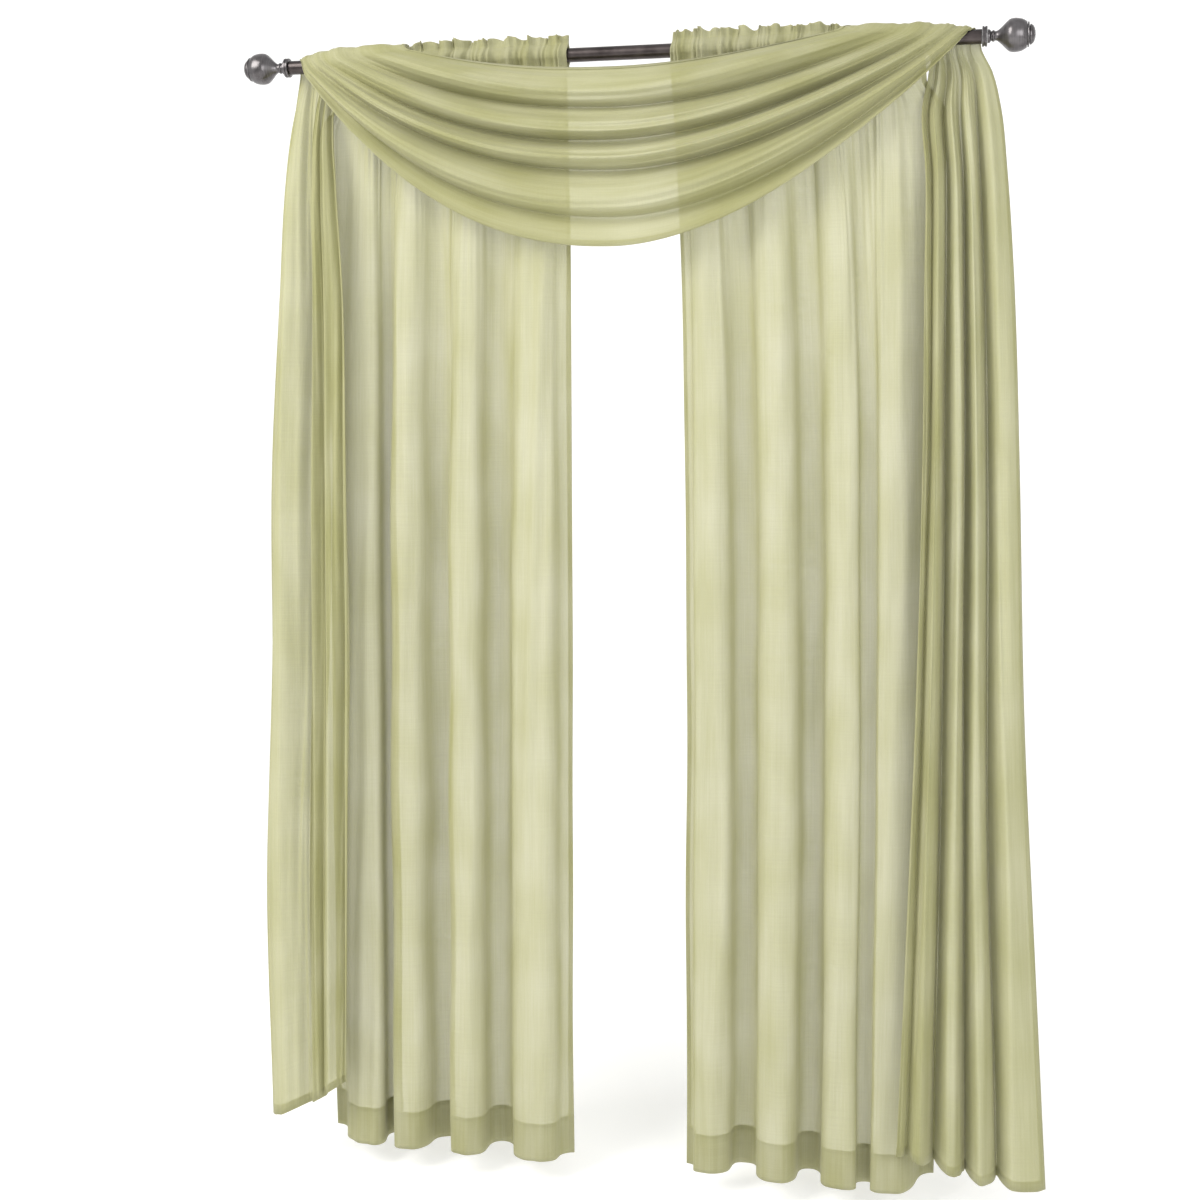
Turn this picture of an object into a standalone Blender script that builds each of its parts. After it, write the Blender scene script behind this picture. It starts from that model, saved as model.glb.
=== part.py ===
"""A pair of sheer curtains with a draped scarf, hung on a round rod with two ball finials.

Two voile panels are gathered on the rod by a pocket in their top, with a ruffled heading above it.
One long scarf comes up behind the rod, falls over it in a pleated swag and ends in two tails.

Metres, +Z up. X runs along the rod, -Y is the room side, and the origin is the middle of the rod's axis.
"""

import math

import bmesh
import bpy
import numpy as np

# ---------------------------------------------------------------- driving dimensions
CLOTH = 0.0012  # thickness of the cloth's solids
GAP = 0.0003  # space between pieces that touch

ROD_RADIUS = 0.0127
ROD_HALF = 0.644  # the rod ends where its collars begin
ROD_SIDES = 24
COLLAR_RADIUS = 0.0175
COLLAR_LENGTH = 0.009
FINIAL_STEPS = 20

HEADING_HEIGHT = 0.037  # the ruffle's top above the rod's axis
PRESSED_HEIGHT = 0.0225  # and where the scarf presses it down
PRESSED_START = 0.365
PRESSED_STEP = 0.045
HEADING_FOOT = 0.0194
POCKET_STITCH = -0.025  # the seam under the rod
POCKET_RADIUS = 0.0149  # centre line of the cloth round the rod
HEM_Z = -2.099

GATHERS = 11  # small gathers of a panel at the rod
GATHER_DEPTH = 0.019
GATHER_FADE = 0.17  # how far below the rod the gathers have faded to a third
PANEL_COLUMNS = 44
EDGE_TOP = -0.06  # a panel's outer edge swings out from this height down, behind the scarf's tail
EDGE_DROP = 0.07
EDGE_OPENED = 0.75

# One row for each place where a panel turns, at a fold's front or in the hollow behind it.
# x_rod and x_hem say where the turn is along the rod and at the hem, y_hem how far it stands out there.
TURN_COLUMNS = ("x_rod", "x_hem", "y_hem")
LEFT_TURNS = (
    (-0.546, -0.600, 0.046),
    (-0.480, -0.496, -0.044),
    (-0.442, -0.462, 0.026),
    (-0.404, -0.428, -0.050),
    (-0.340, -0.356, 0.030),
    (-0.286, -0.302, -0.052),
    (-0.230, -0.244, 0.030),
    (-0.158, -0.160, -0.052),
    (-0.099, -0.094, 0.004),
)
RIGHT_TURNS = (
    (0.094, 0.130, 0.004),
    (0.140, 0.176, -0.034),
    (0.198, 0.244, 0.034),
    (0.256, 0.308, -0.048),
    (0.317, 0.369, 0.030),
    (0.376, 0.431, -0.052),
    (0.424, 0.474, -0.006),
    (0.474, 0.510, -0.052),
    (0.546, 0.600, 0.062),
)
# Height of a panel's rows below the pocket, and how far its folds have opened there, from 0 to 1.
PANEL_ROWS = (
    (HEM_Z, 1.00),
    (HEM_Z + 0.075, 0.99),
    (-1.60, 0.95),
    (-1.15, 0.87),
    (-0.75, 0.75),
    (-0.46, 0.59),
    (-0.28, 0.43),
    (-0.16, 0.28),
    (-0.08, 0.16),
)

# The scarf, one row for each section from a tail's hem to the front of the rod. "in" is the edge on the
# curtain's side, which becomes the swag's top edge, and "out" is the other. spread crowds the folds
# towards "out", and depth is how far they stand out. Where the scarf lies over the rod, over is 1, "in"
# is its height and reach over a panel's heading, and "out" the same over the bare rod.
SECTION_COLUMNS = ("z_in", "z_out", "x_in", "x_out", "y_in", "y_out", "spread", "depth", "over")
LEFT_TAIL = (
    (-1.960, -2.052, 0.528, 0.708, -0.106, -0.058, 1.0, 0.046, 0),
    (-1.600, -1.600, 0.521, 0.712, -0.104, -0.057, 1.0, 0.049, 0),
    (-1.150, -1.150, 0.516, 0.698, -0.097, -0.052, 1.0, 0.054, 0),
    (-0.750, -0.750, 0.516, 0.687, -0.091, -0.050, 1.0, 0.052, 0),
    (-0.420, -0.420, 0.522, 0.668, -0.081, -0.043, 1.0, 0.047, 0),
    (-0.230, -0.230, 0.536, 0.658, -0.065, -0.031, 1.0, 0.038, 0),
    (-0.120, -0.120, 0.549, 0.646, -0.036, -0.014, 1.0, 0.028, 0),
    (-0.055, -0.055, 0.553, 0.637, -0.002, 0.004, 1.0, 0.015, 0),
    (-0.022, -0.020, 0.551, 0.631, 0.022, 0.0142, 1.0, 0.007, 1),
    (0.004, 0.0013, 0.514, 0.628, 0.034, 0.0138, 1.3, 0.0025, 1),
    (0.022, 0.0098, 0.460, 0.626, 0.031, 0.0098, 1.7, 0.0025, 1),
    (0.0300, 0.0138, 0.414, 0.624, 0.016, 0.0025, 2.1, 0.0025, 1),
    (0.0305, 0.0126, 0.408, 0.622, -0.010, -0.0060, 2.5, 0.0025, 1),
    (0.026, 0.0071, 0.404, 0.616, -0.031, -0.0124, 2.8, 0.0035, 1),
    (0.016, -0.028, 0.396, 0.594, -0.041, -0.032, 3.0, 0.008, 0),
)
RIGHT_TAIL = (
    (-2.015, -2.075, 0.536, 0.799, -0.112, -0.062, 1.0, 0.064, 0),
    (-1.600, -1.600, 0.546, 0.769, -0.110, -0.060, 1.0, 0.062, 0),
    (-1.150, -1.150, 0.556, 0.741, -0.105, -0.058, 1.0, 0.060, 0),
    (-0.750, -0.750, 0.560, 0.724, -0.097, -0.053, 1.0, 0.057, 0),
    (-0.420, -0.420, 0.556, 0.706, -0.081, -0.044, 1.0, 0.050, 0),
    (-0.230, -0.230, 0.553, 0.692, -0.065, -0.032, 1.0, 0.040, 0),
    (-0.120, -0.120, 0.551, 0.679, -0.036, -0.014, 1.0, 0.029, 0),
    (-0.055, -0.055, 0.553, 0.662, -0.002, 0.004, 1.0, 0.016, 0),
    (-0.022, -0.020, 0.552, 0.644, 0.022, 0.0142, 1.0, 0.007, 1),
    (0.003, 0.0013, 0.520, 0.640, 0.034, 0.0138, 1.3, 0.0025, 1),
    (0.018, 0.0098, 0.465, 0.636, 0.031, 0.0098, 1.7, 0.0025, 1),
    (0.0255, 0.0138, 0.422, 0.632, 0.016, 0.0025, 2.1, 0.0025, 1),
    (0.0260, 0.0126, 0.412, 0.629, -0.010, -0.0060, 2.5, 0.0025, 1),
    (0.022, 0.0071, 0.404, 0.620, -0.030, -0.0124, 2.8, 0.0035, 1),
    (0.014, -0.026, 0.394, 0.590, -0.041, -0.032, 3.0, 0.008, 0),
)
OVER_START = 0.43  # from here out the scarf comes down from a panel's heading to the bare rod
OVER_POWER = 4.0

# The scarf's pleats, one row for the place between two pleats. swag, left and right say how far from
# "in" to "out" it lies in the swag and in each tail's hem, and the hem columns how high the hem is there.
# A tail's pleats go back towards the window from its front. The stand columns say how much of the
# section's depth the pleat that starts there has, and the back columns how far back the place itself lies.
PLEAT_COLUMNS = (
    "swag", "left", "right", "left_hem", "right_hem", "left_stand", "right_stand", "left_back", "right_back"
)
PLEAT_ROWS = (
    (0.00, 0.00, 0.00, -1.950, -2.006, 0.50, 0.50, 0.12, 0.25),
    (0.22, 0.22, 0.14, -1.980, -2.014, 0.35, 0.95, 0.00, 0.00),
    (0.40, 0.40, 0.37, -2.004, -2.036, 0.00, 0.95, 0.00, 0.00),
    (0.57, 0.44, 0.56, -2.008, -2.052, 0.50, 0.95, 0.90, 0.00),
    (0.83, 0.82, 0.82, -2.044, -2.064, 0.70, 0.80, 0.00, 0.00),
    (1.00, 1.00, 1.00, -2.052, -2.068, 0.70, 0.80, 0.00, 0.00),
)
LAST_PLEAT = 0.25  # the flap along the swag's bottom edge is this share of a whole pleat
PLEAT_STEPS = 8  # columns of cloth in a pleat
FRONT_WIDENING = 0.12  # how far a tail's folds widen at their front, as a share of a pleat's width
TAIL_LEANS = {"left": 0.015, "right": -0.010}  # and how far their hollows shift away from the outer edge

SWAG_TOP_Z = -0.032  # the swag's top edge at its middle
SWAG_BOTTOM_Z = -0.355  # and its bottom edge
SWAG_Y = -0.041
SWAG_DEPTH = 0.049
SWAG_DROOP = 0.20  # how far each fold's crest hangs below its middle, as a share of its width
SWAG_HALF_ROWS = 8
LEFT_FULLNESS = 2.25  # how square the hanging curve is on each side; 2 is a parabola
RIGHT_FULLNESS = 1.80


# ---------------------------------------------------------------- small helpers
def lerp(a, b, share):
    """The value that lies the given share of the way from a to b."""
    return a + (b - a) * share


def make_material(name, color, roughness, metallic=0.0):
    """A Principled material of one colour."""
    material = bpy.data.materials.new(name)
    material.use_nodes = True
    shader = material.node_tree.nodes["Principled BSDF"]
    shader.inputs["Base Color"].default_value = (*color, 1.0)
    shader.inputs["Roughness"].default_value = roughness
    shader.inputs["Metallic"].default_value = metallic
    return material


def make_object(name, mesh, material, collection):
    """Puts a mesh in the scene as a named object with a material of its own."""
    part = bpy.data.objects.new(name, mesh)
    part.data.materials.append(material)
    collection.objects.link(part)
    return part


def cloth_sheet(name, grid, material, collection):
    """A thin closed solid of cloth on a grid of points, given as rows of points."""
    rows, columns = grid.shape[:2]
    faces = [
        (r * columns + c, r * columns + c + 1, (r + 1) * columns + c + 1, (r + 1) * columns + c)
        for r in range(rows - 1)
        for c in range(columns - 1)
    ]
    mesh = bpy.data.meshes.new(name)
    mesh.from_pydata([tuple(point) for point in grid.reshape(-1, 3)], [], faces)
    mesh.shade_smooth()
    sheet = make_object(name, mesh, material, collection)
    solidify = sheet.modifiers.new("Thickness", "SOLIDIFY")
    solidify.thickness = CLOTH
    solidify.offset = 0.0
    solidify.use_even_offset = False
    return sheet


# ---------------------------------------------------------------- panels
def edge_opening(z, opened):
    """How far a panel's outer edge has opened at a height."""
    past = min(1.0, max(0.0, (EDGE_TOP - z) / EDGE_DROP))
    return max(opened, EDGE_OPENED * past * past * (3.0 - 2.0 * past))


def panel_section(share, turns, opened, z):
    """X and Y of a panel at a share of its width and a height, with its folds opened so far."""
    place = share * (len(turns) - 1)
    turn = min(int(place), len(turns) - 2)
    step = place - turn
    start, end = (dict(zip(TURN_COLUMNS, turns[k])) for k in (turn, turn + 1))
    outer = max(range(len(turns)), key=lambda k: abs(turns[k][0]))
    start_opened, end_opened = (
        edge_opening(z, opened) if k == outer else opened for k in (turn, turn + 1)
    )
    x_start = lerp(start["x_rod"], start["x_hem"], start_opened)
    x_end = lerp(end["x_rod"], end["x_hem"], end_opened)
    forward = 1.0 if start["y_hem"] < end["y_hem"] else -1.0
    across = step + 0.13 * forward * math.sin(math.pi * step) * opened
    loop = 0.009 * opened * math.sin(2.0 * math.pi * step)
    x = lerp(x_start, x_end, across) + math.copysign(loop, loop * (x_end - x_start))
    y = lerp(start["y_hem"], end["y_hem"], (1.0 - math.cos(math.pi * step)) / 2.0) * opened
    return x, y


def pocket_path():
    """Y and Z of the cloth from the seam under the rod, up in front, over the heading and down behind."""
    front = [(-POCKET_RADIUS * math.cos(a), POCKET_RADIUS * math.sin(a)) for a in np.radians((-45, 0, 45))]
    layer = 0.0026
    heading = [(-layer, lerp(HEADING_FOOT, HEADING_HEIGHT, share)) for share in (0.0, 0.5, 1.0)]
    rise = [(-0.0045, POCKET_STITCH), *front, *heading]
    fall = [(-y, z) for y, z in reversed(rise[1:])]
    return rise + fall + [(0.0004, POCKET_STITCH + 0.002)]


def pressed_share(x):
    """How much of the ruffle's height is left at a place along the rod."""
    past = min(1.0, max(0.0, (abs(x) - PRESSED_START) / PRESSED_STEP))
    left = (PRESSED_HEIGHT - HEADING_FOOT) / (HEADING_HEIGHT - HEADING_FOOT)
    return lerp(1.0, left, past * past * (3.0 - 2.0 * past))


def panel_grid(turns):
    """Rows of points of one panel, from its hem over the heading to the pocket's seam."""
    shares = np.linspace(0.0, 1.0, PANEL_COLUMNS + 1)
    gathers = (1.0 - np.cos(2.0 * math.pi * GATHERS * shares)) / 2.0
    grid = []
    for z, opened in PANEL_ROWS:
        fade = math.exp(z / GATHER_FADE)
        row = []
        for share, gather in zip(shares, gathers):
            x, y = panel_section(share, turns, opened, z)
            row.append((x, y - 0.010 * fade - GATHER_DEPTH * gather * fade, z))
        grid.append(row)
    path = pocket_path()
    top = len(path) // 2
    rise = HEADING_HEIGHT - HEADING_FOOT
    for k, (y, z) in enumerate(path):
        row = []
        for share, gather in zip(shares, gathers):
            x, _ = panel_section(share, turns, 0.0, 0.0)
            height = z
            if z > POCKET_RADIUS:
                left = pressed_share(x) * (z - HEADING_FOOT)
                ruffle = 0.011 * (2.0 * gather - 1.0) * left / rise
                height = HEADING_FOOT + left
            elif k < top:
                ruffle = -GATHER_DEPTH * gather
            else:
                ruffle = 0.6 * GATHER_DEPTH * gather * (z - POCKET_STITCH - 0.002) / -POCKET_STITCH
            row.append((x, y + ruffle, height))
        grid.append(row)
    return np.array(grid)


# ---------------------------------------------------------------- scarf
def tail_sections(table, side, name):
    """One tail's sections from its hem to the front of the rod, each knowing where its pleats lie."""
    pleats = [dict(zip(PLEAT_COLUMNS, row)) for row in PLEAT_ROWS]
    sections = [dict(zip(SECTION_COLUMNS, row), side=side, hang=0.0) for row in table]
    for k, section in enumerate(sections):
        swag_share = max(0.0, (k - 4.0) / (len(sections) - 5.0))
        section["tail"] = max(0.0, 1.0 - 2.5 * swag_share)
        section["lean"] = TAIL_LEANS[name]
        section["ends"] = [lerp(pleat[name], pleat["swag"], swag_share) for pleat in pleats]
        section["stands"] = [lerp(pleat[f"{name}_stand"], 1.0, swag_share) for pleat in pleats]
        section["backs"] = [lerp(pleat[f"{name}_back"], 0.0, swag_share) for pleat in pleats]
    sections[0]["hem"] = [pleat[f"{name}_hem"] for pleat in pleats]
    return sections


def swag_section(end, reach, fullness):
    """One section of the swag, at a share of the way from its middle to the end section."""
    hang = 1.0 - reach**fullness
    forward = min(1.0, 3.0 * hang)
    return dict(
        end,
        x_in=end["x_in"] * reach,
        x_out=end["x_out"] * reach,
        y_in=lerp(end["y_in"], SWAG_Y, forward),
        y_out=lerp(end["y_out"], SWAG_Y, forward),
        z_in=lerp(end["z_in"], SWAG_TOP_Z, hang),
        z_out=lerp(end["z_out"], SWAG_BOTTOM_Z, hang),
        depth=lerp(end["depth"], SWAG_DEPTH, min(1.0, 1.6 * hang)),
        hang=hang,
    )


def scarf_sections():
    """Every section of the scarf, from the left hem to the right one."""
    left = tail_sections(LEFT_TAIL, -1.0, "left")
    right = tail_sections(RIGHT_TAIL, 1.0, "right")
    reaches = [k / SWAG_HALF_ROWS for k in range(SWAG_HALF_ROWS)]
    swag = [swag_section(left[-1], reach, LEFT_FULLNESS) for reach in reversed(reaches)]
    swag += [swag_section(right[-1], reach, RIGHT_FULLNESS) for reach in reaches[1:]]
    return left + swag + right[::-1]


def section_point(row, place):
    """A point of one section before it is pleated, at a place counted in pleats from the inner edge."""
    turns = range(len(PLEAT_ROWS) - 1)
    marks = [*turns, turns[-1] + LAST_PLEAT]
    share = np.interp(place, marks, row["ends"])
    x = lerp(row["x_in"], row["x_out"], 1.0 - (1.0 - share) ** row["spread"])
    step = share
    if row["over"]:
        step = max(0.0, (x - OVER_START) / (row["x_out"] - OVER_START)) ** OVER_POWER
    z = np.interp(place, marks, row["hem"]) if "hem" in row else lerp(row["z_in"], row["z_out"], step)
    return row["side"] * x, lerp(row["y_in"], row["y_out"], step), z


def scarf_grid():
    """Rows of points of the scarf, one for each section."""
    whole = len(PLEAT_ROWS) - 2
    places = np.linspace(0.0, whole + LAST_PLEAT, int((whole + LAST_PLEAT) * PLEAT_STEPS) + 1)
    sections = scarf_sections()
    base = np.array([[section_point(row, place) for place in places] for row in sections])
    along = np.gradient(base, axis=0)
    across = np.gradient(base, axis=1)
    across /= np.linalg.norm(across, axis=2, keepdims=True)
    out = np.cross(across, along)
    out /= np.linalg.norm(out, axis=2, keepdims=True)
    phases = 2.0 * math.pi * places
    rounded = (1.0 - np.cos(phases)) / 2.0
    creased = np.abs(np.sin(phases / 2.0))
    pleat = places.astype(int)
    step = places - pleat
    eased = step * step * (3.0 - 2.0 * step)
    grid = base.copy()
    for k, row in enumerate(sections):
        ends = np.array(row["ends"])
        height = np.linalg.norm(base[k, -1] - base[k, 0])
        width = height * (ends[pleat + 1] - ends[pleat])
        droop = row["hang"] * SWAG_DROOP * width
        droop[pleat == whole] = 0.0
        forward = lerp(rounded, creased, min(1.0, 2.0 * row["hang"]))
        stand = np.array(row["stands"])[pleat]
        backs = np.array(row["backs"])
        back = lerp(backs[pleat], backs[pleat + 1], eased)
        deep = back + (1.0 - back) * stand * forward
        widen = FRONT_WIDENING * stand * width * np.sin(phases)
        shift = droop * forward + row["tail"] * (widen - row["lean"] * deep)
        grid[k] += out[k] * (row["depth"] * deep)[:, None]
        grid[k] += across[k] * shift[:, None]
    return grid


# ---------------------------------------------------------------- rod, collars and finials
def cylinder(name, start, end, radius, sides, material, collection):
    """A round bar along X from start to end."""
    bm = bmesh.new()
    bmesh.ops.create_cone(
        bm, cap_ends=True, segments=sides, radius1=radius, radius2=radius, depth=abs(end - start)
    )
    mesh = bpy.data.meshes.new(name)
    bm.to_mesh(mesh)
    bm.free()
    mesh.shade_smooth()
    mesh.set_sharp_from_angle(angle=math.radians(40))
    bar = make_object(name, mesh, material, collection)
    bar.rotation_euler = (0.0, math.radians(90), 0.0)
    bar.location = ((start + end) / 2.0, 0.0, 0.0)
    return bar


def finial_profile():
    """Radius and distance from the collar, from the tip back to the neck's foot."""
    cap = [(0.0, 0.0820), (0.0106, 0.0798), (0.0160, 0.0766), (0.0186, 0.0730), (0.0172, 0.0716)]
    ring = [(0.0206, 0.0700), (0.0196, 0.0680)]
    ball = [(0.0230, 0.0660), (0.0266, 0.0600), (0.0283, 0.0523), (0.0287, 0.0448), (0.0269, 0.0372)]
    shoulder = [(0.0205, 0.0296), (0.0129, 0.0220), (0.0082, 0.0160)]
    neck = [(0.0080, 0.0120), (0.0098, 0.0095), (0.0082, 0.0070), (0.0112, 0.0045)]
    return cap + ring + ball + shoulder + neck + [(0.0116, 0.0), (0.0, 0.0)]


def finial(name, side, material, collection):
    """A ball finial turned from one profile, at the rod's end on the given side."""
    profile = finial_profile()
    mesh = bpy.data.meshes.new(name)
    edges = [(k, k + 1) for k in range(len(profile) - 1)]
    mesh.from_pydata([(radius, 0.0, distance) for radius, distance in profile], edges, [])
    turned = make_object(name, mesh, material, collection)
    screw = turned.modifiers.new("Turn", "SCREW")
    screw.axis = "Z"
    screw.steps = FINIAL_STEPS
    screw.render_steps = FINIAL_STEPS
    screw.use_merge_vertices = True
    screw.merge_threshold = 0.0001
    screw.use_smooth_shade = True
    turned.rotation_euler = (0.0, side * math.radians(90), 0.0)
    turned.location = (side * (ROD_HALF + COLLAR_LENGTH + 2.0 * GAP), 0.0, 0.0)
    return turned


# ---------------------------------------------------------------- build
def build():
    """Builds every piece in one collection."""
    for old in list(bpy.data.objects):
        bpy.data.objects.remove(old, do_unlink=True)
    collection = bpy.data.collections.new("sheer_curtains_on_rod")
    bpy.context.scene.collection.children.link(collection)

    voile = (0.60, 0.58, 0.38)
    cylinder(
        "rod", -ROD_HALF, ROD_HALF, ROD_RADIUS, ROD_SIDES,
        make_material("rod_metal", (0.045, 0.037, 0.036), 0.35, 0.9), collection,
    )
    for name, side in (("left", -1.0), ("right", 1.0)):
        inner = side * (ROD_HALF + GAP)
        cylinder(
            f"collar_{name}", inner, inner + side * COLLAR_LENGTH, COLLAR_RADIUS, ROD_SIDES,
            make_material(f"collar_metal_{name}", (0.060, 0.052, 0.052), 0.35, 0.9), collection,
        )
        finial(
            f"finial_{name}", side,
            make_material(f"finial_metal_{name}", (0.085, 0.078, 0.078), 0.30, 0.9), collection,
        )
    for name, turns in (("left", LEFT_TURNS), ("right", RIGHT_TURNS)):
        cloth_sheet(
            f"panel_{name}", panel_grid(turns), make_material(f"panel_voile_{name}", voile, 0.85), collection
        )
    cloth_sheet("scarf", scarf_grid(), make_material("scarf_voile", voile, 0.85), collection)


build()
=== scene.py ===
"""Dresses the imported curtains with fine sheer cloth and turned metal, and sets floor, light and camera.

The cloth repeats the part's own tables of folds, in metres, and adds what its solids leave out: finer
gathers and creases, smooth curves, folded hems and the weave. X runs along the rod and -Y is the room side.
"""

import math

import bpy
import numpy as np
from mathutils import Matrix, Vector


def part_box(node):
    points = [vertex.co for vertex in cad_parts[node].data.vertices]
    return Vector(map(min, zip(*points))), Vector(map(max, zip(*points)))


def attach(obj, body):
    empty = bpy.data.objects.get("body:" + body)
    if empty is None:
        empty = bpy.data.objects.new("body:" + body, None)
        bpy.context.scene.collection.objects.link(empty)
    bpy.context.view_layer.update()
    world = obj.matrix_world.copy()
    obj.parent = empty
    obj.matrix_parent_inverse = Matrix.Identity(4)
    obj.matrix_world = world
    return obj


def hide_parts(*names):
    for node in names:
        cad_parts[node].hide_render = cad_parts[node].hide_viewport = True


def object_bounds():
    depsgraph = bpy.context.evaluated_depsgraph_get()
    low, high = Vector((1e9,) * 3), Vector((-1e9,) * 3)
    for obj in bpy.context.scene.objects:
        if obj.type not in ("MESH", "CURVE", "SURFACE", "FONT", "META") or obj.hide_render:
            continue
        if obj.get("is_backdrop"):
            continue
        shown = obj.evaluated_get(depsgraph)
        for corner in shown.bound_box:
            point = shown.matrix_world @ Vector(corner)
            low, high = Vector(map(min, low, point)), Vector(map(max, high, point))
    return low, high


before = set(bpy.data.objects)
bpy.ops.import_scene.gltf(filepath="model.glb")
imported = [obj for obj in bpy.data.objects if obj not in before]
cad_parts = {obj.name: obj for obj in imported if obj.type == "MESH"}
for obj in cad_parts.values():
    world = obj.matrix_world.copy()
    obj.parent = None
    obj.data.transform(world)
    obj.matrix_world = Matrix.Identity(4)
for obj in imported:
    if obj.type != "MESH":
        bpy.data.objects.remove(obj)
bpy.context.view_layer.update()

TAU = 2.0 * math.pi

# ---------------------------------------------------------------- the part's panels
HEADING_HEIGHT = 0.037  # the ruffle's top above the rod's axis
HEADING_FOOT = 0.0194
PRESSED_HEIGHT = 0.0225  # where the scarf presses the ruffle down to
PRESSED_START = 0.378  # further from the middle than this
PRESSED_STEP = 0.045
POCKET_STITCH = -0.025  # the seam under the rod
POCKET_RADIUS = 0.0149  # centre line of the cloth round the rod
HEM_Z = -2.099
EDGE_TOP = -0.06  # a panel's outer edge swings out from this height down
EDGE_DROP = 0.07  # over this height
EDGE_OPENED = 0.75  # by at least this share of the way to its place at the hem

# a panel's turns: X at the rod, X at the hem and Y at the hem
LEFT_TURNS = (
    (-0.546, -0.600, 0.046),
    (-0.480, -0.496, -0.044),
    (-0.442, -0.462, 0.026),
    (-0.404, -0.428, -0.050),
    (-0.340, -0.356, 0.030),
    (-0.286, -0.302, -0.052),
    (-0.230, -0.244, 0.030),
    (-0.158, -0.160, -0.052),
    (-0.099, -0.094, 0.004),
)
RIGHT_TURNS = (
    (0.094, 0.130, 0.004),
    (0.140, 0.176, -0.034),
    (0.198, 0.244, 0.034),
    (0.256, 0.308, -0.048),
    (0.317, 0.369, 0.030),
    (0.376, 0.431, -0.052),
    (0.424, 0.474, -0.006),
    (0.474, 0.510, -0.052),
    (0.546, 0.600, 0.062),
)

# ---------------------------------------------------------------- the part's scarf
SECTION_COLUMNS = ("z_in", "z_out", "x_in", "x_out", "y_in", "y_out", "spread", "depth", "over")
LEFT_TAIL = (
    (-1.960, -2.052, 0.528, 0.708, -0.106, -0.058, 1.0, 0.046, 0),
    (-1.600, -1.600, 0.521, 0.712, -0.104, -0.057, 1.0, 0.049, 0),
    (-1.150, -1.150, 0.516, 0.698, -0.097, -0.052, 1.0, 0.054, 0),
    (-0.750, -0.750, 0.516, 0.687, -0.091, -0.050, 1.0, 0.052, 0),
    (-0.420, -0.420, 0.522, 0.668, -0.081, -0.043, 1.0, 0.047, 0),
    (-0.230, -0.230, 0.536, 0.658, -0.065, -0.031, 1.0, 0.038, 0),
    (-0.120, -0.120, 0.549, 0.646, -0.036, -0.014, 1.0, 0.028, 0),
    (-0.055, -0.055, 0.553, 0.637, -0.002, 0.004, 1.0, 0.015, 0),
    (-0.022, -0.020, 0.551, 0.631, 0.022, 0.0142, 1.0, 0.007, 1),
    (0.004, 0.0013, 0.514, 0.628, 0.034, 0.0138, 1.3, 0.0025, 1),
    (0.022, 0.0098, 0.460, 0.626, 0.031, 0.0098, 1.7, 0.0025, 1),
    (0.0300, 0.0138, 0.414, 0.624, 0.016, 0.0025, 2.1, 0.0025, 1),
    (0.0305, 0.0126, 0.408, 0.622, -0.010, -0.0060, 2.5, 0.0025, 1),
    (0.026, 0.0071, 0.404, 0.616, -0.031, -0.0124, 2.8, 0.0035, 1),
    (0.016, -0.028, 0.396, 0.594, -0.041, -0.032, 3.0, 0.008, 0),
)
RIGHT_TAIL = (
    (-2.015, -2.075, 0.536, 0.799, -0.112, -0.062, 1.0, 0.064, 0),
    (-1.600, -1.600, 0.546, 0.769, -0.110, -0.060, 1.0, 0.062, 0),
    (-1.150, -1.150, 0.556, 0.741, -0.105, -0.058, 1.0, 0.060, 0),
    (-0.750, -0.750, 0.560, 0.724, -0.097, -0.053, 1.0, 0.057, 0),
    (-0.420, -0.420, 0.556, 0.706, -0.081, -0.044, 1.0, 0.050, 0),
    (-0.230, -0.230, 0.553, 0.692, -0.065, -0.032, 1.0, 0.040, 0),
    (-0.120, -0.120, 0.544, 0.679, -0.036, -0.014, 1.0, 0.029, 0),
    (-0.055, -0.055, 0.553, 0.662, -0.002, 0.004, 1.0, 0.016, 0),
    (-0.022, -0.020, 0.552, 0.644, 0.022, 0.0142, 1.0, 0.007, 1),
    (0.003, 0.0013, 0.520, 0.640, 0.034, 0.0138, 1.3, 0.0025, 1),
    (0.018, 0.0098, 0.465, 0.636, 0.031, 0.0098, 1.7, 0.0025, 1),
    (0.0255, 0.0138, 0.422, 0.632, 0.016, 0.0025, 2.1, 0.0025, 1),
    (0.0260, 0.0126, 0.412, 0.629, -0.010, -0.0060, 2.5, 0.0025, 1),
    (0.022, 0.0071, 0.404, 0.620, -0.030, -0.0124, 2.8, 0.0035, 1),
    (0.014, -0.026, 0.394, 0.590, -0.041, -0.032, 3.0, 0.008, 0),
)
FREE_SECTIONS = 4  # above the tail's section of this number the pleats pass over to the swag's places
TAIL_FADE = 2.5  # how fast what only the tails do ends on the way to the swag
OVER_START = 0.43  # from this X on the scarf steps down from the headings to the bare rod
OVER_POWER = 4.0

PLEAT_COLUMNS = (
    "swag", "left", "right", "left_hem", "right_hem", "left_stand", "right_stand", "left_back", "right_back"
)
PLEAT_ROWS = (
    (0.00, 0.00, 0.00, -1.950, -2.006, 0.50, 0.50, 0.12, 0.25),
    (0.22, 0.22, 0.14, -1.980, -2.014, 0.35, 0.95, 0.00, 0.00),
    (0.40, 0.40, 0.37, -2.004, -2.036, 0.00, 0.95, 0.00, 0.00),
    (0.57, 0.44, 0.56, -2.008, -2.052, 0.50, 0.95, 0.90, 0.00),
    (0.83, 0.82, 0.82, -2.044, -2.064, 0.70, 0.80, 0.00, 0.00),
    (1.00, 1.00, 1.00, -2.052, -2.068, 0.70, 0.80, 0.00, 0.00),
)
WHOLE_PLEATS = len(PLEAT_ROWS) - 2
LAST_PLEAT = 0.25  # the flap after the whole pleats, as a share of a pleat
FRONT_WIDENING = 0.12  # the fronts of the tails' pleats are widened by up to this share
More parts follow.
